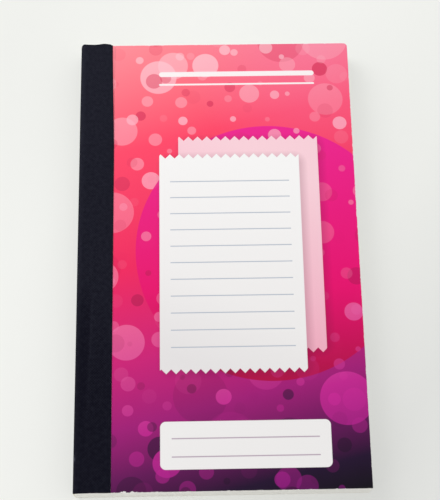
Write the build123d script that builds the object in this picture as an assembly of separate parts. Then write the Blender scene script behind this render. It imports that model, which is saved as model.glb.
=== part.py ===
from build123d import *
import os
from math import sqrt

# Duplicate receipt book. Numbered sets of a perforated white sheet over a fixed copy sheet are glued
# and wire-stitched along one long edge between two card covers, and a cloth tape wraps the spine.
# The closed book lies on its back cover. +X runs from the spine to the fore-edge, +Y from the tail to
# the head and +Z up through the front cover. The origin is the middle of the face that it lies on.
# Sizes are in millimetres.

# Closed format
BOOK_WIDTH = 130.0
BOOK_HEIGHT = 216.0

# Paper and card: the number of sets, and the thickness of each leaf
SET_COUNT = 100
WHITE_THICKNESS = 0.070
COPY_THICKNESS = 0.055
CARBON_THICKNESS = 0.035
FRONT_CARD_THICKNESS = 0.32
BACK_CARD_THICKNESS = 0.45
LEAF_AIR = 0.005

# The first sets turn leaf by leaf, and the rest lie in bundles
TURNING_SETS = 3
SETS_PER_BUNDLE = 10

# Loose carbon sheets in the first sets, cut smaller than the page, with one corner off to pull them by
CARBON_COUNT = 2
CARBON_MARGIN = 2.0
CARBON_CORNER_CUT = 9.0

# Cloth tape round the spine, with the padding glue inside it
TAPE_THICKNESS = 0.20
TAPE_WIDTH = 16.6
SPINE_RADIUS = 3.0
GLUE_THICKNESS = 0.35

# Each turning leaf folds along the edge of the tape. The white sheets have slots there, with ties between
FOLD_GAP = 0.10
PERFORATION_PITCH = 2.4
PERFORATION_SLOT = 1.5
PERFORATION_DEPTH = 0.25

# Stitches of flat wire through the whole block, pulled level with the cards under the tape
STITCH_COUNT = 3
STITCH_PITCH = 72.0
STITCH_INSET = 8.0
STITCH_CROWN = 14.0
STITCH_CLINCH = 5.0
STITCH_BEND = 0.7
WIRE_WIDTH = 0.7
WIRE_THICKNESS = 0.5

# The front cover's head corner at the fore-edge is rounded
COVER_CORNER_RADIUS = 2.0

# Places that the pieces share
SPINE_X = -BOOK_WIDTH / 2
FORE_EDGE_X = BOOK_WIDTH / 2
FOLD_X = SPINE_X + TAPE_WIDTH
BOUND_X = FOLD_X - FOLD_GAP / 2
TURNING_X = FOLD_X + FOLD_GAP / 2
CARD_X = SPINE_X + SPINE_RADIUS


def stack_leaves():
    """Bottom and top of every leaf, from the last set at the back up to the first, and the block's top."""
    spans = {}
    level = BACK_CARD_THICKNESS + LEAF_AIR
    for number in range(SET_COUNT, 0, -1):
        leaves = {"copy": COPY_THICKNESS, "white": WHITE_THICKNESS}
        if number <= CARBON_COUNT:
            leaves = {"copy": COPY_THICKNESS, "carbon": CARBON_THICKNESS, "white": WHITE_THICKNESS}
        for kind, thickness in leaves.items():
            spans[kind, number] = (level, level + thickness)
            level += thickness + LEAF_AIR
    return spans, level


LEAF_SPANS, BLOCK_TOP = stack_leaves()
CARD_TOP = BLOCK_TOP + FRONT_CARD_THICKNESS
BOOK_THICKNESS = CARD_TOP + TAPE_THICKNESS


def save(name, *solids):
    export_step(Compound(list(solids)), f"parts/{name}.step")


def page(left, right, height=BOOK_HEIGHT):
    """Flat outline of a leaf between two X places, centred between head and tail."""
    return Pos((left + right) / 2, 0) * Rectangle(right - left, height)


def leaf(outline, span):
    """Sheet of the given outline that lies between two heights."""
    bottom, top = span
    return Pos(0, 0, bottom) * extrude(outline, top - bottom)


def bound_edge(span):
    """X where a leaf meets the glue, which follows the rounded spine."""
    bottom, top = span
    radius = SPINE_RADIUS - TAPE_THICKNESS - GLUE_THICKNESS
    into_back_round = SPINE_RADIUS - bottom
    into_front_round = top - (BOOK_THICKNESS - SPINE_RADIUS)
    into_round = max(into_back_round, into_front_round, 0)
    if into_round >= radius:
        return CARD_X
    return CARD_X - sqrt(radius**2 - into_round**2)


def perforation():
    """Row of slots across the fold line, centred between head and tail."""
    slot = Rectangle(FOLD_GAP + 2 * PERFORATION_DEPTH, PERFORATION_SLOT)
    count = int(BOOK_HEIGHT / PERFORATION_PITCH)
    return [Pos(FOLD_X, 0) * place * slot for place in GridLocations(0, PERFORATION_PITCH, 1, count)]


def section(left, right, bottom, top):
    """XZ rectangle between two X places and two heights."""
    return Pos((left + right) / 2, (bottom + top) / 2) * Rectangle(right - left, top - bottom)


def spine_section(inset):
    """XZ section of the bound part with its rounded spine, inset from the outside of the tape."""
    block = section(SPINE_X + inset, BOUND_X, inset, BOOK_THICKNESS - inset)
    spine_corners = block.vertices().sort_by(Axis.X)[:2]
    return fillet(spine_corners, SPINE_RADIUS - inset)


def along_spine(profile):
    """Solid of an XZ profile that runs from tail to head."""
    return extrude(Plane.XZ * profile, BOOK_HEIGHT / 2, both=True)


def make_binding():
    tape = spine_section(0) - spine_section(TAPE_THICKNESS)
    save("spine_tape", along_spine(tape))

    glue = spine_section(TAPE_THICKNESS) - spine_section(TAPE_THICKNESS + GLUE_THICKNESS)
    glue &= section(SPINE_X, CARD_X, BACK_CARD_THICKNESS, BLOCK_TOP)
    save("spine_glue", along_spine(glue))


def make_stitches():
    """Wire staples with the crown in the front card and the legs clinched in the back card."""
    x = SPINE_X + STITCH_INSET
    crown_z = CARD_TOP - WIRE_THICKNESS / 2
    clinch_z = TAPE_THICKNESS + WIRE_THICKNESS / 2
    leg = STITCH_CROWN / 2
    tip = leg - STITCH_CLINCH
    points = [(x, -tip, clinch_z), (x, -leg, clinch_z), (x, -leg, crown_z)]
    points += [(x, leg, crown_z), (x, leg, clinch_z), (x, tip, clinch_z)]
    path = FilletPolyline(*points, radius=STITCH_BEND)
    wire_end = Plane(path @ 0, x_dir=(1, 0, 0), z_dir=path % 0)
    stitch = sweep(wire_end * Rectangle(WIRE_WIDTH, WIRE_THICKNESS), path)
    places = GridLocations(0, STITCH_PITCH, 1, STITCH_COUNT)
    save("wire_stitches", *[place * stitch for place in places])


def make_covers():
    front = (BLOCK_TOP, CARD_TOP)
    panel = page(TURNING_X, FORE_EDGE_X)
    head_corner = panel.vertices().sort_by(Axis.Y)[-2:].sort_by(Axis.X)[-1]
    save("front_cover", leaf(fillet(head_corner, COVER_CORNER_RADIUS), front))
    save("front_cover_bound_strip", leaf(page(CARD_X, BOUND_X), front))

    # The back card is pressed thinner under the tape, so that card and tape lie level on the table
    card = leaf(page(CARD_X, FORE_EDGE_X), (0, BACK_CARD_THICKNESS))
    save("back_cover", card - leaf(page(CARD_X, BOUND_X), (0, TAPE_THICKNESS)))


def make_turning_sets():
    slots = perforation()
    for number in range(1, TURNING_SETS + 1):
        for kind in ("white", "copy"):
            span = LEAF_SPANS[kind, number]
            slip = page(TURNING_X, FORE_EDGE_X)
            stub = page(bound_edge(span), BOUND_X)
            if kind == "white":
                slip -= slots
                stub -= slots
            save(f"{kind}_sheet_{number:03d}", leaf(slip, span))
            save(f"{kind}_sheet_{number:03d}_stub", leaf(stub, span))


def make_carbons():
    outline = page(FOLD_X + CARBON_MARGIN, FORE_EDGE_X - CARBON_MARGIN, BOOK_HEIGHT - 2 * CARBON_MARGIN)
    tail_corner = outline.vertices().sort_by(Axis.Y)[:2].sort_by(Axis.X)[-1]
    outline = chamfer(tail_corner, CARBON_CORNER_CUT)
    for number in range(1, CARBON_COUNT + 1):
        save(f"carbon_sheet_{number}", leaf(outline, LEAF_SPANS["carbon", number]))


def make_bundles():
    first = TURNING_SETS + 1
    while first <= SET_COUNT:
        last = min(SET_COUNT, (first - 1) // SETS_PER_BUNDLE * SETS_PER_BUNDLE + SETS_PER_BUNDLE)
        for kind in ("white", "copy"):
            spans = [LEAF_SPANS[kind, number] for number in range(first, last + 1)]
            sheets = [leaf(page(bound_edge(span), FORE_EDGE_X), span) for span in spans]
            save(f"{kind}_sheets_{first:03d}_to_{last:03d}", *sheets)
        first = last + 1


os.makedirs("parts", exist_ok=True)
make_binding()
make_stitches()
make_covers()
make_turning_sets()
make_carbons()
make_bundles()
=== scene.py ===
import math

import bmesh
import bpy
from mathutils import Matrix, Quaternion, Vector


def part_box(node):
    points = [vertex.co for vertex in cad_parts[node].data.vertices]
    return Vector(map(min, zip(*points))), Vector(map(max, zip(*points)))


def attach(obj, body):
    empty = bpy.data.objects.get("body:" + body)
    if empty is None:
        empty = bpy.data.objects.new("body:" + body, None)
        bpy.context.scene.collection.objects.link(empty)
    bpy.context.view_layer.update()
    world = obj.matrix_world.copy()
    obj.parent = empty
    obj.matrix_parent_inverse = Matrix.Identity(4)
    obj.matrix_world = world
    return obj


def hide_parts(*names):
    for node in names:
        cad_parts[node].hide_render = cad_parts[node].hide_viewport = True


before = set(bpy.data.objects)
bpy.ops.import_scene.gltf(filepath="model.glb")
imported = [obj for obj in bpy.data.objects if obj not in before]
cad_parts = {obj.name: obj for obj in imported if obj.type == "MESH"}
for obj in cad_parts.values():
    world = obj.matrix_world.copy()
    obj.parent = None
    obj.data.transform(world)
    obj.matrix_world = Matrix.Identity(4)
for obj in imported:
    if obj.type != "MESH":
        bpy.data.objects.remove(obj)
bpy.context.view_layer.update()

# Duplicate receipt book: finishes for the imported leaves, covers and binding, a cloth tape, a printed front
# card and numbered sheets. Sizes and places are in millimetres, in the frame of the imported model.
MM = 0.001


def box_mm(node):
    """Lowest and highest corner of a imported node, in millimetres."""
    low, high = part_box(node)
    return low / MM, high / MM


# Places that the pieces share
tape_low, tape_high = box_mm("spine_tape")
card_low, card_high = box_mm("front_cover")
back_low, back_high = box_mm("back_cover")
BOOK_TOP = tape_high.z
HEAD = tape_high.y
TAIL = tape_low.y
SPINE = tape_low.x
TAPE_EDGE = tape_high.x
FORE_EDGE = back_high.x
FOLD = (TAPE_EDGE + card_low.x) / 2
# The back card begins where the round of the spine ends
SPINE_RADIUS = round(back_low.x - SPINE, 3)
# The face of the front card is level with the underside of the tape
TAPE_THICKNESS = round(BOOK_TOP - card_high.z, 3)


# Node and colour helpers

def linear(hex_colour):
    """Linear RGBA of an sRGB hex colour such as #F2F3EF."""
    channels = [int(hex_colour[i:i + 2], 16) / 255 for i in (1, 3, 5)]
    return [c / 12.92 if c <= 0.04045 else ((c + 0.055) / 1.055) ** 2.4 for c in channels] + [1.0]


def add(tree, kind, inputs, out=0, **settings):
    """Adds a shader node with its settings, fills or links its inputs, and returns one of its outputs."""
    made = tree.nodes.new("ShaderNode" + kind)
    for name, value in settings.items():
        setattr(made, name, value)
    for socket, value in inputs.items():
        if isinstance(value, bpy.types.NodeSocket):
            tree.links.new(value, made.inputs[socket])
        else:
            made.inputs[socket].default_value = value
    return made.outputs[out]


def new_material(name, **sockets):
    """A material with a Principled shader, whose even values are set on its own sockets."""
    material = bpy.data.materials.new(name)
    material.use_nodes = True
    shader = material.node_tree.nodes["Principled BSDF"]
    for socket, value in sockets.items():
        shader.inputs[socket.replace("_", " ")].default_value = value
    return material, material.node_tree, shader


def place_mm(tree):
    """Object coordinates in millimetres."""
    place = add(tree, "TexCoord", {}, out="Object")
    return add(tree, "VectorMath", {0: place, "Scale": 1 / MM}, operation="SCALE")


# Masks and inks that the print and the sheets share
INK_EDGE = 0.12
SQUARE_CORNER = 0.4
RULE_SPACING = 8.0
RULE_BLUR = 0.3


def inside_panel(tree, place, centre, size, corner, soft=INK_EDGE):
    """Mask of a rounded panel. A disc is a panel whose corners meet, and a soft point is a faint glow."""
    reach = [size[0] / 2 - corner, size[1] / 2 - corner, 0]
    offset = add(tree, "VectorMath", {0: place, 1: [*centre, 0]}, operation="SUBTRACT")
    offset = add(tree, "VectorMath", {0: offset}, operation="ABSOLUTE")
    offset = add(tree, "VectorMath", {0: offset, 1: reach}, operation="SUBTRACT")
    offset = add(tree, "VectorMath", {0: offset, 1: [0, 0, 0]}, operation="MAXIMUM")
    distance = add(tree, "VectorMath", {0: offset}, out="Value", operation="LENGTH")
    edge = {"Value": distance, "From Min": corner + soft, "From Max": corner - soft}
    return add(tree, "MapRange", edge)


def ruled(tree, along, width):
    """Mask of rules of one width, evenly spaced along a coordinate."""
    turn = add(tree, "Math", {0: along, 1: 1 / RULE_SPACING}, operation="MULTIPLY")
    turn = add(tree, "Math", {0: turn}, operation="FRACT")
    off = add(tree, "Math", {0: turn, 1: 0.5}, operation="SUBTRACT")
    off = add(tree, "Math", {0: off}, operation="ABSOLUTE")
    half = width / RULE_SPACING / 2
    edge = {"From Min": (1 + RULE_BLUR) * half, "From Max": (1 - RULE_BLUR) * half}
    return add(tree, "MapRange", {"Value": off, **edge})


def blended(tree, share, inks):
    """Inks that run into one another, placed from 0 to 1."""
    ramp = add(tree, "ValToRGB", {0: share})
    stops = ramp.node.color_ramp.elements
    for position, _ in inks[1:-1]:
        stops.new(position)
    for stop, (position, ink) in zip(stops, inks):
        stop.position = position
        stop.color = linear(ink)
    return ramp


# The front cover's print starts with a tilted wash of pinks, dark at the tail, and a rosy glow at the head
WASH_TILT = math.radians(-14)
WASH_LOW = -120.0
WASH_HIGH = 118.0
WASH_INKS = [
    (0.00, "#0D0813"),
    (0.06, "#220B2E"),
    (0.13, "#651258"),
    (0.22, "#A31A78"),
    (0.34, "#CE1E78"),
    (0.52, "#F2235F"),
    (0.76, "#FF4668"),
    (1.00, "#FF8E98"),
]
ROSE_CENTRE = (50.0, 112.0)
ROSE_REACH = 70.0
ROSE_INK = "#F67FAE"

# Translucent discs: each layer has a spacing, a strength, a turn and a shift
LAYERS_UNDER_BIG_DISC = [
    (62.0, 0.72, math.radians(20), (3.0, 11.0)),
    (45.0, 0.80, math.radians(52), (40.0, 7.0)),
    (31.0, 0.80, math.radians(74), (17.0, 63.0)),
]
LAYERS_OVER_BIG_DISC = [
    (21.0, 0.75, math.radians(8), (5.0, 29.0)),
    (14.0, 0.70, math.radians(37), (21.0, 3.0)),
]
DISC_SCATTER = 0.46
DEEP_DISC_SHARE = 0.38
# Radii are shares of a layer's spacing
SMALLEST_RADIUS = 0.09
LARGEST_RADIUS = 0.27
PALE_DISC_INKS = [(0.0, "#82107C"), (0.2, "#D4289C"), (0.5, "#FF86AE"), (1.0, "#FFD3DA")]
DEEP_DISC_INKS = [(0.0, "#080510"), (0.2, "#3C0E40"), (0.5, "#B8104F"), (1.0, "#E8385F")]
BIG_DISC_WIDTH = 124.0
BIG_DISC_CENTRE = (24.0, 2.0)
BIG_DISC_STRENGTH = 0.94
BIG_DISC_INKS = [(0.0, "#B0003E"), (0.35, "#EA006E"), (1.0, "#EE1C92")]


def with_discs(tree, flat, colour, pale, deep, layer):
    """Adds one layer of translucent discs, each with its own size, strength and tint."""
    spacing, strength, turn, shift = layer
    turned = add(tree, "VectorRotate", {"Vector": flat, "Angle": turn}, rotation_type="Z_AXIS")
    moved = add(tree, "VectorMath", {0: turned, 1: [*shift, 0]}, operation="ADD")
    cells = {"Vector": moved, "Scale": 1 / spacing, "Randomness": DISC_SCATTER}
    disc = add(tree, "TexVoronoi", cells, voronoi_dimensions="2D").node
    chance = add(tree, "SeparateColor", {0: disc.outputs["Color"]}).node
    radii = {"To Min": SMALLEST_RADIUS, "To Max": LARGEST_RADIUS}
    radius = add(tree, "MapRange", {"Value": chance.outputs[0], **radii})
    depth = add(tree, "Math", {0: radius, 1: disc.outputs["Distance"]}, operation="SUBTRACT")
    sharp = add(tree, "Math", {0: depth, 1: spacing / INK_EDGE / 2}, operation="MULTIPLY", use_clamp=True)
    weight = add(tree, "Math", {0: chance.outputs[1], 1: strength}, operation="MULTIPLY")
    mask = add(tree, "Math", {0: sharp, 1: weight}, operation="MULTIPLY")
    light = add(tree, "Math", {0: chance.outputs[2], 1: DEEP_DISC_SHARE}, operation="GREATER_THAN")
    tint = add(tree, "Mix", {0: light, 6: deep, 7: pale}, 2, data_type="RGBA")
    return add(tree, "Mix", {0: mask, 6: colour, 7: tint}, 2, data_type="RGBA")


def with_big_disc(tree, flat, colour):
    """Adds the large magenta disc, which is redder towards the tail."""
    level = add(tree, "SeparateXYZ", {0: flat}, out="Y")
    radius = BIG_DISC_WIDTH / 2
    reach = {"From Min": BIG_DISC_CENTRE[1] - radius, "From Max": BIG_DISC_CENTRE[1] + radius}
    magenta = blended(tree, add(tree, "MapRange", {"Value": level, **reach}), BIG_DISC_INKS)
    disc = inside_panel(tree, flat, BIG_DISC_CENTRE, (BIG_DISC_WIDTH, BIG_DISC_WIDTH), radius)
    disc = add(tree, "Math", {0: disc, 1: BIG_DISC_STRENGTH}, operation="MULTIPLY")
    return add(tree, "Mix", {0: disc, 6: colour, 7: magenta}, 2, data_type="RGBA")


def printed_ground(tree, flat):
    """The pink wash, with layers of translucent discs below and above the large one."""
    turned = add(tree, "VectorRotate", {"Vector": flat, "Angle": WASH_TILT}, rotation_type="Z_AXIS")
    up = add(tree, "SeparateXYZ", {0: turned}, out="Y")
    share = add(tree, "MapRange", {"Value": up, "From Min": WASH_LOW, "From Max": WASH_HIGH})
    colour = blended(tree, share, WASH_INKS)
    rose = inside_panel(tree, flat, ROSE_CENTRE, (0, 0), 0, soft=ROSE_REACH)
    colour = add(tree, "Mix", {0: rose, 6: colour, 7: linear(ROSE_INK)}, 2, data_type="RGBA")
    pale = blended(tree, share, PALE_DISC_INKS)
    deep = blended(tree, share, DEEP_DISC_INKS)
    for layer in LAYERS_UNDER_BIG_DISC:
        colour = with_discs(tree, flat, colour, pale, deep, layer)
    colour = with_big_disc(tree, flat, colour)
    for layer in LAYERS_OVER_BIG_DISC:
        colour = with_discs(tree, flat, colour, pale, deep, layer)
    return colour


# A printed receipt, ruled and with zigzag ends, lies over its pink copy, and each has a soft shadow
SLIP_SIZE = (66.0, 104.0)
SLIP_CENTRE = (6.0, -2.0)
COPY_OFFSET = (9.0, 9.0)
TOOTH_PITCH = 4.4
SHADING_WAY = (0.45, 0.89, 0.0)
RECEIPT_INKS = [(0.0, "#E9E6E6"), (0.35, "#F3F1F0"), (1.0, "#F9F8F7")]
COPY_INKS = [(0.0, "#EE9DB6"), (0.5, "#F7BDCD"), (1.0, "#FBD3DC")]
SHADOW_OFFSET = (1.2, -1.8)
SHADOW_CORNER = 4.0
SHADOW_BLUR = 3.0
SHADOW_STRENGTH = 0.45
SHADOW_INK = "#6A0A40"
SLIP_RULE_WIDTH = 0.45
SLIP_RULE_INK = "#B4BCC9"
SLIP_MARGINS = (10.0, 16.0)


def with_slips(tree, flat, colour):
    """Adds the copy, then the receipt over it, and the receipt's rules."""
    across = add(tree, "SeparateXYZ", {0: flat}).node
    tooth = add(tree, "Math", {0: across.outputs["X"], 1: TOOTH_PITCH / 2}, operation="PINGPONG")
    notch = add(tree, "CombineXYZ", {"Y": tooth})
    torn = add(tree, "VectorMath", {0: flat, 1: notch}, operation="ADD")
    slant = add(tree, "VectorMath", {0: flat, 1: SHADING_WAY}, out="Value", operation="DOT_PRODUCT")
    reach = {"From Min": -SLIP_SIZE[1] / 2, "From Max": SLIP_SIZE[1] / 2}
    share = add(tree, "MapRange", {"Value": slant, **reach})
    for offset, inks in ((COPY_OFFSET, COPY_INKS), ((0.0, 0.0), RECEIPT_INKS)):
        centre = [c + o for c, o in zip(SLIP_CENTRE, offset)]
        below = [c + o for c, o in zip(centre, SHADOW_OFFSET)]
        shadow = inside_panel(tree, flat, below, SLIP_SIZE, SHADOW_CORNER, soft=SHADOW_BLUR)
        shadow = add(tree, "Math", {0: shadow, 1: SHADOW_STRENGTH}, operation="MULTIPLY")
        colour = add(tree, "Mix", {0: shadow, 6: colour, 7: linear(SHADOW_INK)}, 2, data_type="RGBA")
        slip = inside_panel(tree, torn, centre, SLIP_SIZE, SQUARE_CORNER)
        shaded = blended(tree, share, inks)
        colour = add(tree, "Mix", {0: slip, 6: colour, 7: shaded}, 2, data_type="RGBA")
    rules = ruled(tree, across.outputs["Y"], SLIP_RULE_WIDTH)
    room = [side - margin for side, margin in zip(SLIP_SIZE, SLIP_MARGINS)]
    writing = inside_panel(tree, flat, SLIP_CENTRE, room, SQUARE_CORNER)
    rules = add(tree, "Math", {0: rules, 1: writing}, operation="MULTIPLY")
    return add(tree, "Mix", {0: rules, 6: colour, 7: linear(SLIP_RULE_INK)}, 2, data_type="RGBA")


# Two bars at the head, each with a level and a thickness, and a writing panel at the tail of the same width
LAYOUT_LEFT = -27.0
LAYOUT_RIGHT = 48.0
HEAD_BARS = ((92.0, 2.6), (86.5, 0.9))
HEAD_BAR_INK = "#FBF3F3"
PANEL_LEVEL = -88.0
PANEL_HEIGHT = 21.0
PANEL_CORNER = 2.5
PANEL_INK = "#F4F2F1"
PANEL_RULE_LEVELS = (-85.0, -93.0)
PANEL_RULE_WIDTH = 0.5
PANEL_RULE_MARGINS = 10.0
PANEL_RULE_INK = "#B7A3B4"


def with_bars_and_panel(tree, flat, colour):
    """Adds the bars at the head, and the panel with its two rules at the tail."""
    middle = (LAYOUT_LEFT + LAYOUT_RIGHT) / 2
    width = LAYOUT_RIGHT - LAYOUT_LEFT
    for level, thickness in HEAD_BARS:
        bar = inside_panel(tree, flat, (middle, level), (width, thickness), thickness / 2)
        colour = add(tree, "Mix", {0: bar, 6: colour, 7: linear(HEAD_BAR_INK)}, 2, data_type="RGBA")
    panel = inside_panel(tree, flat, (middle, PANEL_LEVEL), (width, PANEL_HEIGHT), PANEL_CORNER)
    colour = add(tree, "Mix", {0: panel, 6: colour, 7: linear(PANEL_INK)}, 2, data_type="RGBA")
    rule_size = (width - PANEL_RULE_MARGINS, PANEL_RULE_WIDTH)
    for level in PANEL_RULE_LEVELS:
        rule = inside_panel(tree, flat, (middle, level), rule_size, PANEL_RULE_WIDTH / 2)
        colour = add(tree, "Mix", {0: rule, 6: colour, 7: linear(PANEL_RULE_INK)}, 2, data_type="RGBA")
    return colour


# Chips and rubbed spots in the film along the cut edges go deeper round a knock at the tail, near the tape
CHIP_SIZE = 4.0
CHIP_DEPTH = 0.40
CHIP_STRENGTH = 0.9
KNOCK_CENTRE = (-43.0, TAIL)
KNOCK_REACH = 7.0
KNOCK_DEPTH = 4.0
BARE_CARD = "#F3EFEE"


def with_rubbed_edges(tree, place, flat, colour):
    """Shows the white card where the film is chipped or rubbed off."""
    across = add(tree, "SeparateXYZ", {0: flat}).node
    from_fore = add(tree, "Math", {0: FORE_EDGE, 1: across.outputs["X"]}, operation="SUBTRACT")
    level = add(tree, "Math", {0: across.outputs["Y"]}, operation="ABSOLUTE")
    from_end = add(tree, "Math", {0: HEAD, 1: level}, operation="SUBTRACT")
    from_edge = add(tree, "Math", {0: from_fore, 1: from_end}, operation="MINIMUM")
    chips = {"Vector": place, "Scale": 1 / CHIP_SIZE, "Detail": 4.0, "Roughness": 0.7}
    rub = add(tree, "TexNoise", chips)
    knocked = inside_panel(tree, flat, KNOCK_CENTRE, (0, 0), 0, soft=KNOCK_REACH)
    depth = add(tree, "Math", {0: knocked, 1: KNOCK_DEPTH, 2: CHIP_DEPTH}, operation="MULTIPLY_ADD")
    rub = add(tree, "MapRange", {"Value": rub, "From Min": 0.50, "From Max": 0.80, "To Max": depth})
    bare = add(tree, "Math", {0: rub, 1: from_edge}, operation="SUBTRACT")
    ragged_line = {"From Min": -0.15, "From Max": 0.10, "To Max": CHIP_STRENGTH}
    bare = add(tree, "MapRange", {"Value": bare, **ragged_line})
    return add(tree, "Mix", {0: bare, 6: colour, 7: linear(BARE_CARD)}, 2, data_type="RGBA")


# Materials

def gloss_print():
    """Card printed in bright inks under clear gloss film: clean saturated colour and a soft even sheen."""
    material, tree, shader = new_material("gloss_laminated_print", IOR=1.5, Specular_IOR_Level=0.2)
    cloud_width = 14.0
    ripple_width = 1.6
    place = place_mm(tree)
    flat = add(tree, "VectorMath", {0: place, 1: [1, 1, 0]}, operation="MULTIPLY")
    colour = printed_ground(tree, flat)
    colour = with_slips(tree, flat, colour)
    colour = with_bars_and_panel(tree, flat, colour)
    colour = with_rubbed_edges(tree, place, flat, colour)
    tree.links.new(colour, shader.inputs["Base Color"])

    cloud = add(tree, "TexNoise", {"Vector": place, "Scale": 1 / cloud_width, "Detail": 3.0})
    sheen = add(tree, "MapRange", {"Value": cloud, "To Min": 0.30, "To Max": 0.42})
    tree.links.new(sheen, shader.inputs["Roughness"])
    ripple = add(tree, "TexNoise", {"Vector": place, "Scale": 1 / ripple_width, "Detail": 1.0})
    bump = add(tree, "Bump", {"Height": ripple, "Strength": 0.03, "Distance": 0.1 * MM})
    tree.links.new(bump, shader.inputs["Normal"])
    return material


# Rules on the sheets, in a writing area that leaves room for the number at the head
SHEET_RULE_WIDTH = 0.4
WRITING_LEVEL = -8.0
WRITING_HEIGHT = 180.0


def ruled_paper(name, page, shade, rule):
    """Uncoated writing paper: matt, faintly mottled, feint ruled on the front, with cut edges streaked grey,
    partly as painted shade.
    """
    material, tree, shader = new_material(name, Roughness=0.9)
    fibre_clump = 2.5
    place = place_mm(tree)
    facing = add(tree, "SeparateXYZ", {0: add(tree, "TexCoord", {}, out="Normal")}, out="Z")
    up = add(tree, "SeparateXYZ", {0: place}, out="Y")

    clumps = {"Vector": place, "Scale": 1 / fibre_clump, "Detail": 4.0, "Roughness": 0.7}
    fibre = add(tree, "TexNoise", clumps)
    mottle = add(tree, "MapRange", {"Value": fibre, "From Min": 0.35, "From Max": 0.75})
    colour = add(tree, "Mix", {0: mottle, 6: linear(page), 7: linear(shade)}, 2, data_type="RGBA")

    # The rules run right across the sheet
    rules = ruled(tree, up, SHEET_RULE_WIDTH)
    flat = add(tree, "VectorMath", {0: place, 1: [1, 1, 0]}, operation="MULTIPLY")
    middle = ((FOLD + FORE_EDGE) / 2, WRITING_LEVEL)
    room = (2 * (FORE_EDGE - FOLD), WRITING_HEIGHT)
    writing = inside_panel(tree, flat, middle, room, SQUARE_CORNER)
    rules = add(tree, "Math", {0: rules, 1: writing}, operation="MULTIPLY")
    front = add(tree, "Math", {0: facing, 1: 0.5}, operation="GREATER_THAN")
    rules = add(tree, "Math", {0: rules, 1: front}, operation="MULTIPLY")
    colour = add(tree, "Mix", {0: rules, 6: colour, 7: linear(rule)}, 2, data_type="RGBA")

    # Single leaves are too thin to show, so the streaks on the cut edges are drawn about 0.6 mm high. Their
    # grey is partly the leaves' own tone and partly painted shade between the leaves.
    streaks_per_mm = [0.03, 0.03, 1.7]
    layers = add(tree, "VectorMath", {0: place, 1: streaks_per_mm}, operation="MULTIPLY")
    streak = add(tree, "TexNoise", {"Vector": layers, "Scale": 1.0, "Detail": 3.0, "Roughness": 0.65})
    streak = add(tree, "MapRange", {"Value": streak, "From Min": 0.38, "From Max": 0.68})
    level = add(tree, "Math", {0: facing}, operation="ABSOLUTE")
    cut = add(tree, "Math", {0: level, 1: 0.5}, operation="LESS_THAN")
    streak = add(tree, "Math", {0: streak, 1: cut}, operation="MULTIPLY")
    colour = add(tree, "Mix", {0: streak, 6: colour, 7: linear("#E2E0DA")}, 2, data_type="RGBA")
    tree.links.new(colour, shader.inputs["Base Color"])
    bump = add(tree, "Bump", {"Height": fibre, "Strength": 0.12, "Distance": 0.05 * MM})
    tree.links.new(bump, shader.inputs["Normal"])
    return material


def carbon_paper():
    """Thin tissue with a waxy violet-black ink below: dull above, shiny beneath, faintly streaked."""
    material, tree, shader = new_material("waxed_carbon_tissue", IOR=1.45, Specular_IOR_Level=0.3)
    streaks_per_mm = [0.05, 0.6, 1.0]
    place = place_mm(tree)
    facing = add(tree, "SeparateXYZ", {0: add(tree, "TexCoord", {}, out="Normal")}, out="Z")
    along = add(tree, "VectorMath", {0: place, 1: streaks_per_mm}, operation="MULTIPLY")
    streak = add(tree, "TexNoise", {"Vector": along, "Scale": 1.0, "Detail": 3.0})
    colour = add(tree, "Mix", {0: streak, 6: linear("#15131F"), 7: linear("#2A2738")}, 2, data_type="RGBA")
    tree.links.new(colour, shader.inputs["Base Color"])
    sheen = add(tree, "MapRange", {"Value": facing, "From Min": -1.0, "To Min": 0.28, "To Max": 0.55})
    tree.links.new(sheen, shader.inputs["Roughness"])
    return material


def plain_board(name, face, cloudy, fleck):
    """Uncoated pulp board: matt and pale, faintly cloudy, with fine flecks."""
    material, tree, shader = new_material(name, Roughness=0.85)
    fleck_width = 0.9
    cloud_width = 18.0
    place = place_mm(tree)
    specks = {"Vector": place, "Scale": 1 / fleck_width, "Detail": 5.0, "Roughness": 0.7}
    grain = add(tree, "TexNoise", specks)
    flecks = add(tree, "MapRange", {"Value": grain, "From Min": 0.52, "From Max": 0.78})
    cloud = add(tree, "TexNoise", {"Vector": place, "Scale": 1 / cloud_width, "Detail": 2.0})
    worn = add(tree, "Mix", {0: cloud, 6: linear(face), 7: linear(cloudy)}, 2, data_type="RGBA")
    colour = add(tree, "Mix", {0: flecks, 6: worn, 7: linear(fleck)}, 2, data_type="RGBA")
    tree.links.new(colour, shader.inputs["Base Color"])
    bump = add(tree, "Bump", {"Height": grain, "Strength": 0.2, "Distance": 0.06 * MM})
    tree.links.new(bump, shader.inputs["Normal"])
    return material


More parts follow.
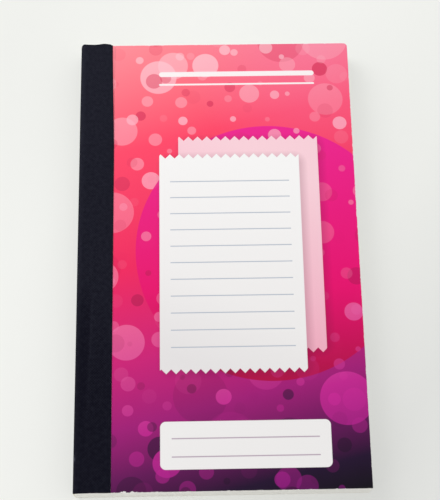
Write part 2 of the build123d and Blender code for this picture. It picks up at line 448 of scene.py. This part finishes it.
def tape_cloth():
    """Dyed cotton bookcloth filled with starch: near-black, matt, finely woven, paler where rubbed, with
    painted light and shade.
    """
    material, tree, shader = new_material("black_bookcloth", Roughness=0.85, Specular_IOR_Level=0.1)
    # Threads are about 0.35 mm apart, and are drawn at 1.2 mm to show
    thread = 1.2
    slub_width = 1.8
    weave_share = 0.16
    shade_share = 0.65
    bare_from = 0.5
    cut = add(tree, "UVMap", {}, uv_map="cloth_mm")
    turns = add(tree, "VectorMath", {0: cut, "Scale": 2 * math.pi / thread}, operation="SCALE")
    run = add(tree, "SeparateXYZ", {0: turns}).node
    warp = add(tree, "Math", {0: run.outputs["X"]}, operation="SINE")
    weft = add(tree, "Math", {0: run.outputs["Y"]}, operation="SINE")
    weave = add(tree, "Math", {0: warp, 1: weft}, operation="MULTIPLY")
    slubs = {"Vector": cut, "Scale": 1 / slub_width, "Detail": 3.0, "Roughness": 0.7}
    slub = add(tree, "TexNoise", slubs)
    lift = add(tree, "Math", {0: weave, 1: weave_share, 2: slub}, operation="MULTIPLY_ADD")

    # Wear and painted light make the dye paler and painted shade makes it darker; where wear is strongest
    # the raised threads are bare
    wear_and_painted_light = add(tree, "Attribute", {}, out="Fac", attribute_name="wear_and_painted_light")
    shade = add(tree, "MapRange", {"Value": lift, "From Min": 0.30, "From Max": 0.74})
    tone = add(tree, "Math", {0: shade, 1: shade_share, 2: wear_and_painted_light}, operation="MULTIPLY_ADD")
    colour = add(tree, "Mix", {0: tone, 6: linear("#050514"), 7: linear("#20212C")}, 2, data_type="RGBA")
    bare = add(tree, "Math", {0: wear_and_painted_light, 1: bare_from}, operation="SUBTRACT")
    bare = add(tree, "Math", {0: bare, 1: shade}, operation="MULTIPLY", use_clamp=True)
    colour = add(tree, "Mix", {0: bare, 6: colour, 7: linear("#5C5D66")}, 2, data_type="RGBA")
    tree.links.new(colour, shader.inputs["Base Color"])
    bump = add(tree, "Bump", {"Height": lift, "Strength": 0.3, "Distance": 0.1 * MM})
    tree.links.new(bump, shader.inputs["Normal"])
    return material


def padding_glue():
    """Dried padding glue: milky, a little shiny, uneven where the brush left it."""
    material, tree, shader = new_material("dried_padding_glue", Roughness=0.4, IOR=1.46)
    brush_mark = 2.0
    place = place_mm(tree)
    brush = add(tree, "TexNoise", {"Vector": place, "Scale": 1 / brush_mark, "Detail": 3.0})
    colour = add(tree, "Mix", {0: brush, 6: linear("#E9E1CB"), 7: linear("#CFC3A4")}, 2, data_type="RGBA")
    tree.links.new(colour, shader.inputs["Base Color"])
    return material


def stitch_wire():
    """Tinned steel stitching wire: bright grey, with fine marks from drawing."""
    material, tree, shader = new_material("tinned_stitch_wire", Metallic=1.0)
    draw_mark = 0.3
    place = place_mm(tree)
    drawn = add(tree, "TexNoise", {"Vector": place, "Scale": 1 / draw_mark, "Detail": 2.0})
    colour = add(tree, "Mix", {0: drawn, 6: linear("#C6C6C6"), 7: linear("#A4A5A8")}, 2, data_type="RGBA")
    tree.links.new(colour, shader.inputs["Base Color"])
    rough = add(tree, "MapRange", {"Value": drawn, "To Min": 0.25, "To Max": 0.42})
    tree.links.new(rough, shader.inputs["Roughness"])
    return material


def numbering_ink():
    """Black numbering-machine ink, matt, grey where the wheels struck the paper less hard."""
    material, tree, shader = new_material("black_numbering_ink", Roughness=0.7)
    weak_spot = 0.7
    place = place_mm(tree)
    strike = add(tree, "TexNoise", {"Vector": place, "Scale": 1 / weak_spot, "Detail": 2.0})
    colour = add(tree, "Mix", {0: strike, 6: linear("#2C2C31"), 7: linear("#5E5E66")}, 2, data_type="RGBA")
    tree.links.new(colour, shader.inputs["Base Color"])
    return material


print_finish = gloss_print()
white_paper = ruled_paper("white_bond_paper", page="#F5F5F2", shade="#EFEFEC", rule="#B0C0CF")
copy_paper = ruled_paper("thin_bank_copy_paper", page="#F2EFE6", shade="#EAE7DD", rule="#B4BFC7")
carbon_tissue = carbon_paper()
back_board = plain_board("white_lined_pulp_board", face="#E9E6DD", cloudy="#DFDBD1", fleck="#C2BBAD")
card_core = plain_board("bleached_card_core", face="#F3F2EF", cloudy="#EFEDE8", fleck="#E0DED8")
bookcloth = tape_cloth()
number_ink = numbering_ink()


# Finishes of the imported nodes, by the words that their names start with
FINISHES = [
    ("white_sheet", white_paper),
    ("copy_sheet", copy_paper),
    ("carbon_sheet", carbon_tissue),
    ("back_cover", back_board),
    ("front_cover_bound_strip", print_finish),
    ("spine_glue", padding_glue()),
    ("wire_stitches", stitch_wire()),
]
for name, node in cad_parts.items():
    for start, finish in FINISHES:
        if name.startswith(start):
            for slot in node.material_slots:
                slot.material = finish


# New pieces
SHARP_TURN = math.radians(20)


def make_piece(bm, name, materials):
    """Turns a bmesh drawn in millimetres into an object at the origin."""
    bmesh.ops.scale(bm, vec=(MM, MM, MM), verts=bm.verts)
    mesh = bpy.data.meshes.new(name)
    bm.to_mesh(mesh)
    bm.free()
    for material in materials:
        mesh.materials.append(material)
    piece = bpy.data.objects.new(name, mesh)
    bpy.context.scene.collection.objects.link(piece)
    return piece


def keep_sharp_edges(bm):
    """Marks open edges and edges that turn sharply, so that smooth shading stops there."""
    for edge in bm.edges:
        edge.smooth = len(edge.link_faces) == 2 and edge.calc_face_angle() < SHARP_TURN


def cut_across(bm, axis, places):
    """Cuts a mesh by planes square to one axis, so that it can bend along it."""
    square = Vector([float(axis == k) for k in range(3)])
    for place in places:
        whole = bm.verts[:] + bm.edges[:] + bm.faces[:]
        bmesh.ops.bisect_plane(bm, geom=whole, plane_co=square * place, plane_no=square)
    # Cuts leave the faces in another order each run, so they are put in order of place
    for index, face in enumerate(sorted(bm.faces, key=lambda f: f.calc_center_median().to_tuple(4))):
        face.index = index
    bm.faces.sort()


def spread(low, high, count):
    """Evenly spaced places between two ends, without the ends."""
    return [low + (high - low) * (k + 1) / (count + 1) for k in range(count)]


# The front card has one rounded corner and a finely rounded rim, and is cut up to take a slow wave
HEAD_CORNER = 2.0
RIM_ROUND = 0.06
CUTS_ACROSS = 18
CUTS_UP = 34
COVER_RISE = 0.18
LONG_WAVE = 31.0
LONG_WAVE_START = 0.6
SHORT_WAVE = 13.0
SHORT_WAVE_SLANT = 40.0


def cover_lift(x, y):
    """How far the card stands off the block: nothing at the fold, a slow wave towards the fore-edge."""
    out = (x - FOLD) / (FORE_EDGE - FOLD)
    long_wave = math.sin(y / LONG_WAVE + LONG_WAVE_START)
    short_wave = math.sin(y / SHORT_WAVE + x / SHORT_WAVE_SLANT)
    return COVER_RISE * out * out * (0.5 + 0.3 * long_wave + 0.2 * short_wave)


def make_front_card():
    """The turning part of the front cover, printed on its face, with bare card at its edges and inside."""
    bm = bmesh.new()
    size = card_high - card_low
    middle = (card_low + card_high) / 2
    bmesh.ops.create_cube(bm, size=1.0)
    bmesh.ops.scale(bm, vec=size, verts=bm.verts)
    bmesh.ops.translate(bm, vec=middle, verts=bm.verts)
    upright = [e for e in bm.edges if abs(e.verts[0].co.z - e.verts[1].co.z) > size.z / 2]
    corner = [e for e in upright if e.verts[0].co.x > middle.x and e.verts[0].co.y > middle.y]
    bmesh.ops.bevel(bm, geom=corner, offset=HEAD_CORNER,
                    affect="EDGES", segments=8, profile=0.5, material=-1)
    rim = [e for e in bm.edges if all(v.co.z > middle.z for v in e.verts)]
    bmesh.ops.bevel(bm, geom=rim, offset=RIM_ROUND,
                    affect="EDGES", segments=2, profile=0.5, material=-1)
    cut_across(bm, 0, spread(card_low.x, card_high.x, CUTS_ACROSS))
    cut_across(bm, 1, spread(card_low.y, card_high.y, CUTS_UP))
    for vert in bm.verts:
        vert.co.z += cover_lift(vert.co.x, vert.co.y)
    bm.normal_update()
    for face in bm.faces:
        face.material_index = 0 if face.normal.z > 0.5 else 1
        face.smooth = True
    keep_sharp_edges(bm)
    card = make_piece(bm, "front_cover_card", [print_finish, card_core])
    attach(card, "front_cover")
    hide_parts("front_cover")


# The tape's cut width runs from the front wing's free edge, round the spine, to the back wing's free edge
WING = TAPE_EDGE - SPINE - SPINE_RADIUS
ROUND = SPINE_RADIUS * math.pi / 2
BACKBONE = BOOK_TOP - 2 * SPINE_RADIUS
TAPE_CUT = 2 * WING + 2 * ROUND + BACKBONE
SQUARES_ALONG = 92
SQUARES_UP = 180


def wrapped(along):
    """XZ place on the outside of the tape, and the way out, along the cut from the front wing's edge."""
    centre_x = SPINE + SPINE_RADIUS
    if along < WING:
        return Vector((TAPE_EDGE - along, BOOK_TOP)), Vector((0, 1))
    along -= WING
    if along < ROUND:
        out = Vector((-math.sin(along / SPINE_RADIUS), math.cos(along / SPINE_RADIUS)))
        return Vector((centre_x, BOOK_TOP - SPINE_RADIUS)) + SPINE_RADIUS * out, out
    along -= ROUND
    if along < BACKBONE:
        return Vector((SPINE, BOOK_TOP - SPINE_RADIUS - along)), Vector((-1, 0))
    along -= BACKBONE
    if along < ROUND:
        out = Vector((-math.cos(along / SPINE_RADIUS), -math.sin(along / SPINE_RADIUS)))
        return Vector((centre_x, SPINE_RADIUS)) + SPINE_RADIUS * out, out
    along -= ROUND
    return Vector((centre_x + along, 0.0)), Vector((0, -1))


def bell(offset, width):
    """A smooth hump, 1 in the middle and nearly 0 at twice the width."""
    return math.exp(-(offset / width) ** 2)


def step(value, low, high):
    """Rises smoothly from 0 at the low end to 1 at the high end."""
    share = min(max((value - low) / (high - low), 0.0), 1.0)
    return share * share * (3.0 - 2.0 * share)


# The long crease on the front wing, from the middle of the book to the tail, where it is nearest the spine
CREASE_TOP = -19.0
CREASE_FROM_EDGE = 8.8
CREASE_STEEPNESS = 31.0
CREASE_STARTS = (-26.0, -13.0)
CREASE_FADES = -40.0
CREASE_FADE_LENGTH = 36.0
# Its sharp ridge, and a low swell beside it towards the free edge
RIDGE_HEIGHT = 0.11
RIDGE_WIDTH = 0.7
SWELL_HEIGHT = 0.07
SWELL_WIDTH = 2.2
SWELL_OFFSET = 2.4


def crease(y):
    """How far from the free edge the crease runs at a level, and its strength there."""
    place = CREASE_FROM_EDGE - (y - CREASE_TOP) / CREASE_STEEPNESS
    started = 1.0 - step(y, *CREASE_STARTS)
    return place, started * bell(min(y - CREASE_FADES, 0.0), CREASE_FADE_LENGTH)


# The cloth rises over the crowns of the three stitches, and is a little slack
stitch_low, stitch_high = box_mm("wire_stitches")
STITCH_LENGTH = 14.5
STITCH_ALONG = TAPE_EDGE - (stitch_low.x + stitch_high.x) / 2
STITCH_PITCH = stitch_high.y - STITCH_LENGTH / 2
CROWN_MARK_HEIGHT = 0.06
CROWN_MARK_WIDTH = 0.9
CROWN_MARK_LENGTH = 8.5
SLACK_HEIGHT = 0.02
SLACK_RIPPLE = 17.0
SLACK_SLANT = 5.0
SLACK_SPAN = 41.0


def tape_relief(along, y):
    """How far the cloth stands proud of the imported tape: stitch crowns, the crease and slack."""
    crowns = sum(bell(y - place, CROWN_MARK_LENGTH) for place in (-STITCH_PITCH, 0.0, STITCH_PITCH))
    crowns *= bell(along - STITCH_ALONG, CROWN_MARK_WIDTH)
    place, strength = crease(y)
    raised = RIDGE_HEIGHT * bell(along - place, RIDGE_WIDTH)
    raised += SWELL_HEIGHT * bell(along - place + SWELL_OFFSET, SWELL_WIDTH)
    slack = math.sin(y / SLACK_RIPPLE + along / SLACK_SLANT) * math.sin(y / SLACK_SPAN)
    return CROWN_MARK_HEIGHT * crowns + strength * raised + SLACK_HEIGHT * slack


# Wear of the tape's dye, and painted light, which makes the cloth paler towards the head by a share of its
# depth between two levels
FRESH_DYE = -0.10
PAINTED_LIGHT_STEPS = ((0.29, -70.0, -5.0), (0.15, 15.0, HEAD))
# It is rubbed off the crease's ridge, which also gets a painted highlight, and painted shade keeps it dark
# between the crease and the spine
RIDGE_RUB_AND_HIGHLIGHT = 0.15
PAINTED_SHADE_BEHIND = 0.22
PAINTED_SHADE_RAMP = 1.5
# It is knocked off at one place on the spine's round
SPINE_KNOCK_ALONG = WING + 0.6 * ROUND
SPINE_KNOCK_LEVEL = -93.0
SPINE_KNOCK_WIDTH = 0.8
SPINE_KNOCK_LENGTH = 1.0
SPINE_KNOCK_RUB = 1.9


def tape_wear_and_painted_light(along, y):
    """How pale the cloth is from wear and from painted light and shade: about 0 where darkest, 1 and more
    where its threads are bare.
    """
    painted_light_to_head = sum(share * step(y, low, high) for share, low, high in PAINTED_LIGHT_STEPS)
    place, strength = crease(y)
    painted_shade = step(along, place, place + PAINTED_SHADE_RAMP) * (1.0 - step(along, WING, WING + ROUND))
    rub_highlight_and_shade = strength * (RIDGE_RUB_AND_HIGHLIGHT * bell(along - place, RIDGE_WIDTH) - PAINTED_SHADE_BEHIND * painted_shade)
    knock = bell(along - SPINE_KNOCK_ALONG, SPINE_KNOCK_WIDTH)
    knock *= bell(y - SPINE_KNOCK_LEVEL, SPINE_KNOCK_LENGTH)
    return FRESH_DYE + painted_light_to_head + rub_highlight_and_shade + SPINE_KNOCK_RUB * knock


# The tape's ragged cut ends, in waves that each have a height, a span and a start
END_DEPTH = 2.5
# The cloth stands past the head from its free corner on, most of all in a tongue on the spine's round
HEAD_PAST = 0.70
HEAD_WAVES = ((0.20, 2.9, 0.0), (-0.12, 1.3, 1.0))
HEAD_RISES_OVER = (-0.4, 1.6)
TONGUE_PAST = 0.5
TONGUE_ALONG = WING + 1.9
TONGUE_WIDTH = 1.6
# It is nearly flush at the tail, and both ends turn in at the backbone
TAIL_WAVES = ((0.12, 5.0, 0.0), (-0.05, 1.7, 0.0))
TAIL_TURN_IN = 0.7
BACKBONE_CORNER = 0.8


def ragged(along, waves):
    """How far a ragged end strays from its line."""
    return sum(height * math.sin(along / span + start) for height, span, start in waves)


def tape_end(along, y):
    """How far the cloth near a cut end moves towards the head."""
    inset = max(BACKBONE_CORNER - (wrapped(along)[0].x - SPINE), 0.0)
    corner = BACKBONE_CORNER - math.sqrt(max(BACKBONE_CORNER**2 - inset**2, 0.0))
    if y > 0:
        past = HEAD_PAST + ragged(along, HEAD_WAVES)
        past += TONGUE_PAST * bell(along - TONGUE_ALONG, TONGUE_WIDTH)
        moved = past * step(along, *HEAD_RISES_OVER) - corner
    else:
        moved = TAIL_TURN_IN * corner + ragged(along, TAIL_WAVES)
    return moved * bell(HEAD - abs(y), END_DEPTH)


# The tape was laid narrower at the head, so that its free edge draws in between two levels
DRAWN_IN = 1.15
DRAWN_IN_LEVELS = (45.0, 120.0)
DRAWN_IN_WIDTH = 8.0


def drawn_in(along, y):
    """How far the front wing lies inside its cut width: most at the free edge, less behind it."""
    return DRAWN_IN * step(y, *DRAWN_IN_LEVELS) * max(1.0 - along / DRAWN_IN_WIDTH, 0.0)


def make_tape():
    """The tape is a flat strip of cloth wrapped round the spine, with its cut size kept as its UV map."""
    bm = bmesh.new()
    bmesh.ops.create_grid(bm, x_segments=SQUARES_ALONG, y_segments=SQUARES_UP, size=0.5)
    bmesh.ops.scale(bm, vec=(TAPE_CUT, HEAD - TAIL, 1.0), verts=bm.verts)
    bmesh.ops.translate(bm, vec=(TAPE_CUT / 2, 0.0, 0.0), verts=bm.verts)
    cloth_mm = bm.loops.layers.uv.new("cloth_mm")
    for face in bm.faces:
        face.smooth = True
        for loop in face.loops:
            loop[cloth_mm].uv = loop.vert.co.xy
    wear_and_painted_light = bm.verts.layers.float.new("wear_and_painted_light")
    for vert in bm.verts:
        along, y = vert.co.x, vert.co.y
        place, out = wrapped(along)
        if along < TAPE_CUT / 2:
            place += out * tape_relief(along, y)
            place.x -= drawn_in(along, y)
        vert[wear_and_painted_light] = tape_wear_and_painted_light(along, y)
        vert.co = (place.x, y + tape_end(along, y), place.y)
    bmesh.ops.reverse_faces(bm, faces=bm.faces)
    keep_sharp_edges(bm)
    tape = make_piece(bm, "spine_tape_cloth", [bookcloth])
    wall = tape.modifiers.new("cloth thickness", "SOLIDIFY")
    wall.thickness = TAPE_THICKNESS * MM
    wall.offset = -1.0
    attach(tape, "binding")
    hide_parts("spine_tape")


# Numbers of the sets, near the head at the fore-edge
TURNING_SETS = 3
NUMBER_HEIGHT = 5.0
NUMBER_RIGHT = FORE_EDGE - 10.0
NUMBER_BASE = HEAD - 12.0
INK_FILM = 0.001
# The font's figures are this share of its size high
FIGURE_SHARE = 0.7


def strike_number(number, sheet, body):
    """Prints a set's number on one of its sheets."""
    name = f"{sheet}_number"
    text = bpy.data.curves.new(name, "FONT")
    text.body = f"{number:03d}"
    text.size = NUMBER_HEIGHT / FIGURE_SHARE
    text.align_x = "RIGHT"
    text.extrude = INK_FILM / 2
    lettering = bpy.data.objects.new(name, text)
    mesh = bpy.data.meshes.new_from_object(lettering)
    bpy.data.objects.remove(lettering)
    top = box_mm(sheet)[1].z + INK_FILM
    mesh.transform(Matrix.Scale(MM, 4) @ Matrix.Translation((NUMBER_RIGHT, NUMBER_BASE, top)))
    mesh.materials.clear()
    mesh.materials.append(number_ink)
    piece = bpy.data.objects.new(name, mesh)
    bpy.context.scene.collection.objects.link(piece)
    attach(piece, body)


make_front_card()
make_tape()
for number in range(1, TURNING_SETS + 1):
    for kind in ("white", "copy"):
        sheet = f"{kind}_sheet_{number:03d}"
        strike_number(number, sheet, sheet)
# The next white sheet lies on top of the bundles, and shows when the turning sets are turned
strike_number(TURNING_SETS + 1, "white_sheets_004_to_010", "binding")


# A pale table whose tones change along a line from the head of the spine to the tail of the fore-edge, with
# painted shade that is deepest round the book's tail corner
TABLE_REACH = 20000.0
TABLE_DROP = 0.02
TABLE_GLOW = 0.54
TONES_ALONG = (0.84, -0.54, 0.0)
TONES_FROM = -150.0
TONES_TO = 560.0
TABLE_TONES_AND_SHADE = [
    (0.00, "#EEEFEB"),
    (0.10, "#F4F5F1"),
    (0.18, "#F4F5F1"),
    (0.29, "#F0F1ED"),
    (0.37, "#E5E6E3"),
    (0.76, "#EDEEEB"),
    (1.00, "#F3F4F0"),
]


def make_table():
    """Matt white paint: pale and even, with painted shade that is deepest at the book's tail corner and
    clears further off.
    """
    bm = bmesh.new()
    bmesh.ops.create_grid(bm, x_segments=1, y_segments=1, size=TABLE_REACH)
    bmesh.ops.translate(bm, vec=(0.0, 0.0, -TABLE_DROP), verts=bm.verts)
    material, tree, shader = new_material("matt_white_paint", Roughness=0.8, Specular_IOR_Level=0.2)
    place = place_mm(tree)
    run = add(tree, "VectorMath", {0: place, 1: TONES_ALONG}, out="Value", operation="DOT_PRODUCT")
    share = add(tree, "MapRange", {"Value": run, "From Min": TONES_FROM, "From Max": TONES_TO})
    colour = blended(tree, share, TABLE_TONES_AND_SHADE)
    tree.links.new(colour, shader.inputs["Base Color"])
    # Seen directly, about half of the table's brightness is its own, so that it stays pale in the shadow
    rays = add(tree, "LightPath", {}).node
    seen = rays.outputs["Is Camera Ray"]
    for kind in ("Is Glossy Ray", "Is Transmission Ray"):
        seen = add(tree, "Math", {0: seen, 1: rays.outputs[kind]}, operation="MAXIMUM")
    own = add(tree, "Math", {0: seen, 1: TABLE_GLOW}, operation="MULTIPLY")
    glow = add(tree, "Emission", {"Color": colour, "Strength": 1.0})
    both = add(tree, "MixShader", {0: own, 1: shader.outputs["BSDF"], 2: glow})
    tree.links.new(both, tree.nodes["Material Output"].inputs["Surface"])
    make_piece(bm, "table", [material])


# A large soft window beyond the spine and the head, in white surroundings
WINDOW_PLACE = Vector((-470.0, 470.0, 640.0))
WINDOW_SIZE = 620.0
WINDOW_POWER = 3.4
SKY_HORIZON = 1.12
SKY_ZENITH = 0.33
SKY_SIDE = 0.20


def make_window():
    """A soft square light that faces the book."""
    lamp = bpy.data.lights.new("window", "AREA")
    lamp.size = WINDOW_SIZE * MM
    lamp.energy = WINDOW_POWER
    window = bpy.data.objects.new("window", lamp)
    window.location = WINDOW_PLACE * MM
    window.rotation_mode = "QUATERNION"
    window.rotation_quaternion = (-WINDOW_PLACE).to_track_quat("-Z", "Y")
    bpy.context.scene.collection.objects.link(window)


def make_world():
    """White surroundings, bright at table height, dimmer overhead and brightest on the spine's side."""
    world = bpy.data.worlds.new("studio")
    world.use_nodes = True
    tree = world.node_tree
    sky = tree.nodes["Background"]
    sky.inputs["Color"].default_value = linear("#FFFFFF")
    towards = add(tree, "TexCoord", {}, out="Generated")
    towards = add(tree, "SeparateXYZ", {0: towards}).node
    height = towards.outputs["Z"]
    overhead = add(tree, "Math", {0: height, 1: height}, operation="MULTIPLY")
    strength = add(tree, "MapRange", {"Value": overhead, "To Min": SKY_HORIZON, "To Max": SKY_ZENITH})
    sides = {"From Min": -1.0, "To Min": 1.0 + SKY_SIDE, "To Max": 1.0 - SKY_SIDE}
    side = add(tree, "MapRange", {"Value": towards.outputs["X"], **sides})
    strength = add(tree, "Math", {0: strength, 1: side}, operation="MULTIPLY")
    tree.links.new(strength, sky.inputs["Strength"])
    bpy.context.scene.world = world


# The photograph's viewpoint, for a picture 440 wide and 500 high
CAMERA_PLACE = Vector((-8.7, -175.5, 536.0))
CAMERA_TARGET = Vector((0.83, 1.82, 14.35))
CAMERA_ROLL = math.radians(2.09)
CAMERA_LENS = 86.1
CAMERA_SENSOR = 36.0


def make_camera():
    """A camera at that viewpoint, rolled a little, as the photograph is."""
    lens = bpy.data.cameras.new("photo_view")
    lens.sensor_width = CAMERA_SENSOR
    lens.lens = CAMERA_LENS
    camera = bpy.data.objects.new("photo_view", lens)
    camera.location = CAMERA_PLACE * MM
    camera.rotation_mode = "QUATERNION"
    look = (CAMERA_TARGET - CAMERA_PLACE).to_track_quat("-Z", "Y")
    camera.rotation_quaternion = look @ Quaternion((0, 0, 1), CAMERA_ROLL)
    bpy.context.scene.collection.objects.link(camera)
    bpy.context.scene.camera = camera


make_table()
make_world()
make_window()
make_camera()
bpy.context.scene.view_settings.view_transform = "Standard"
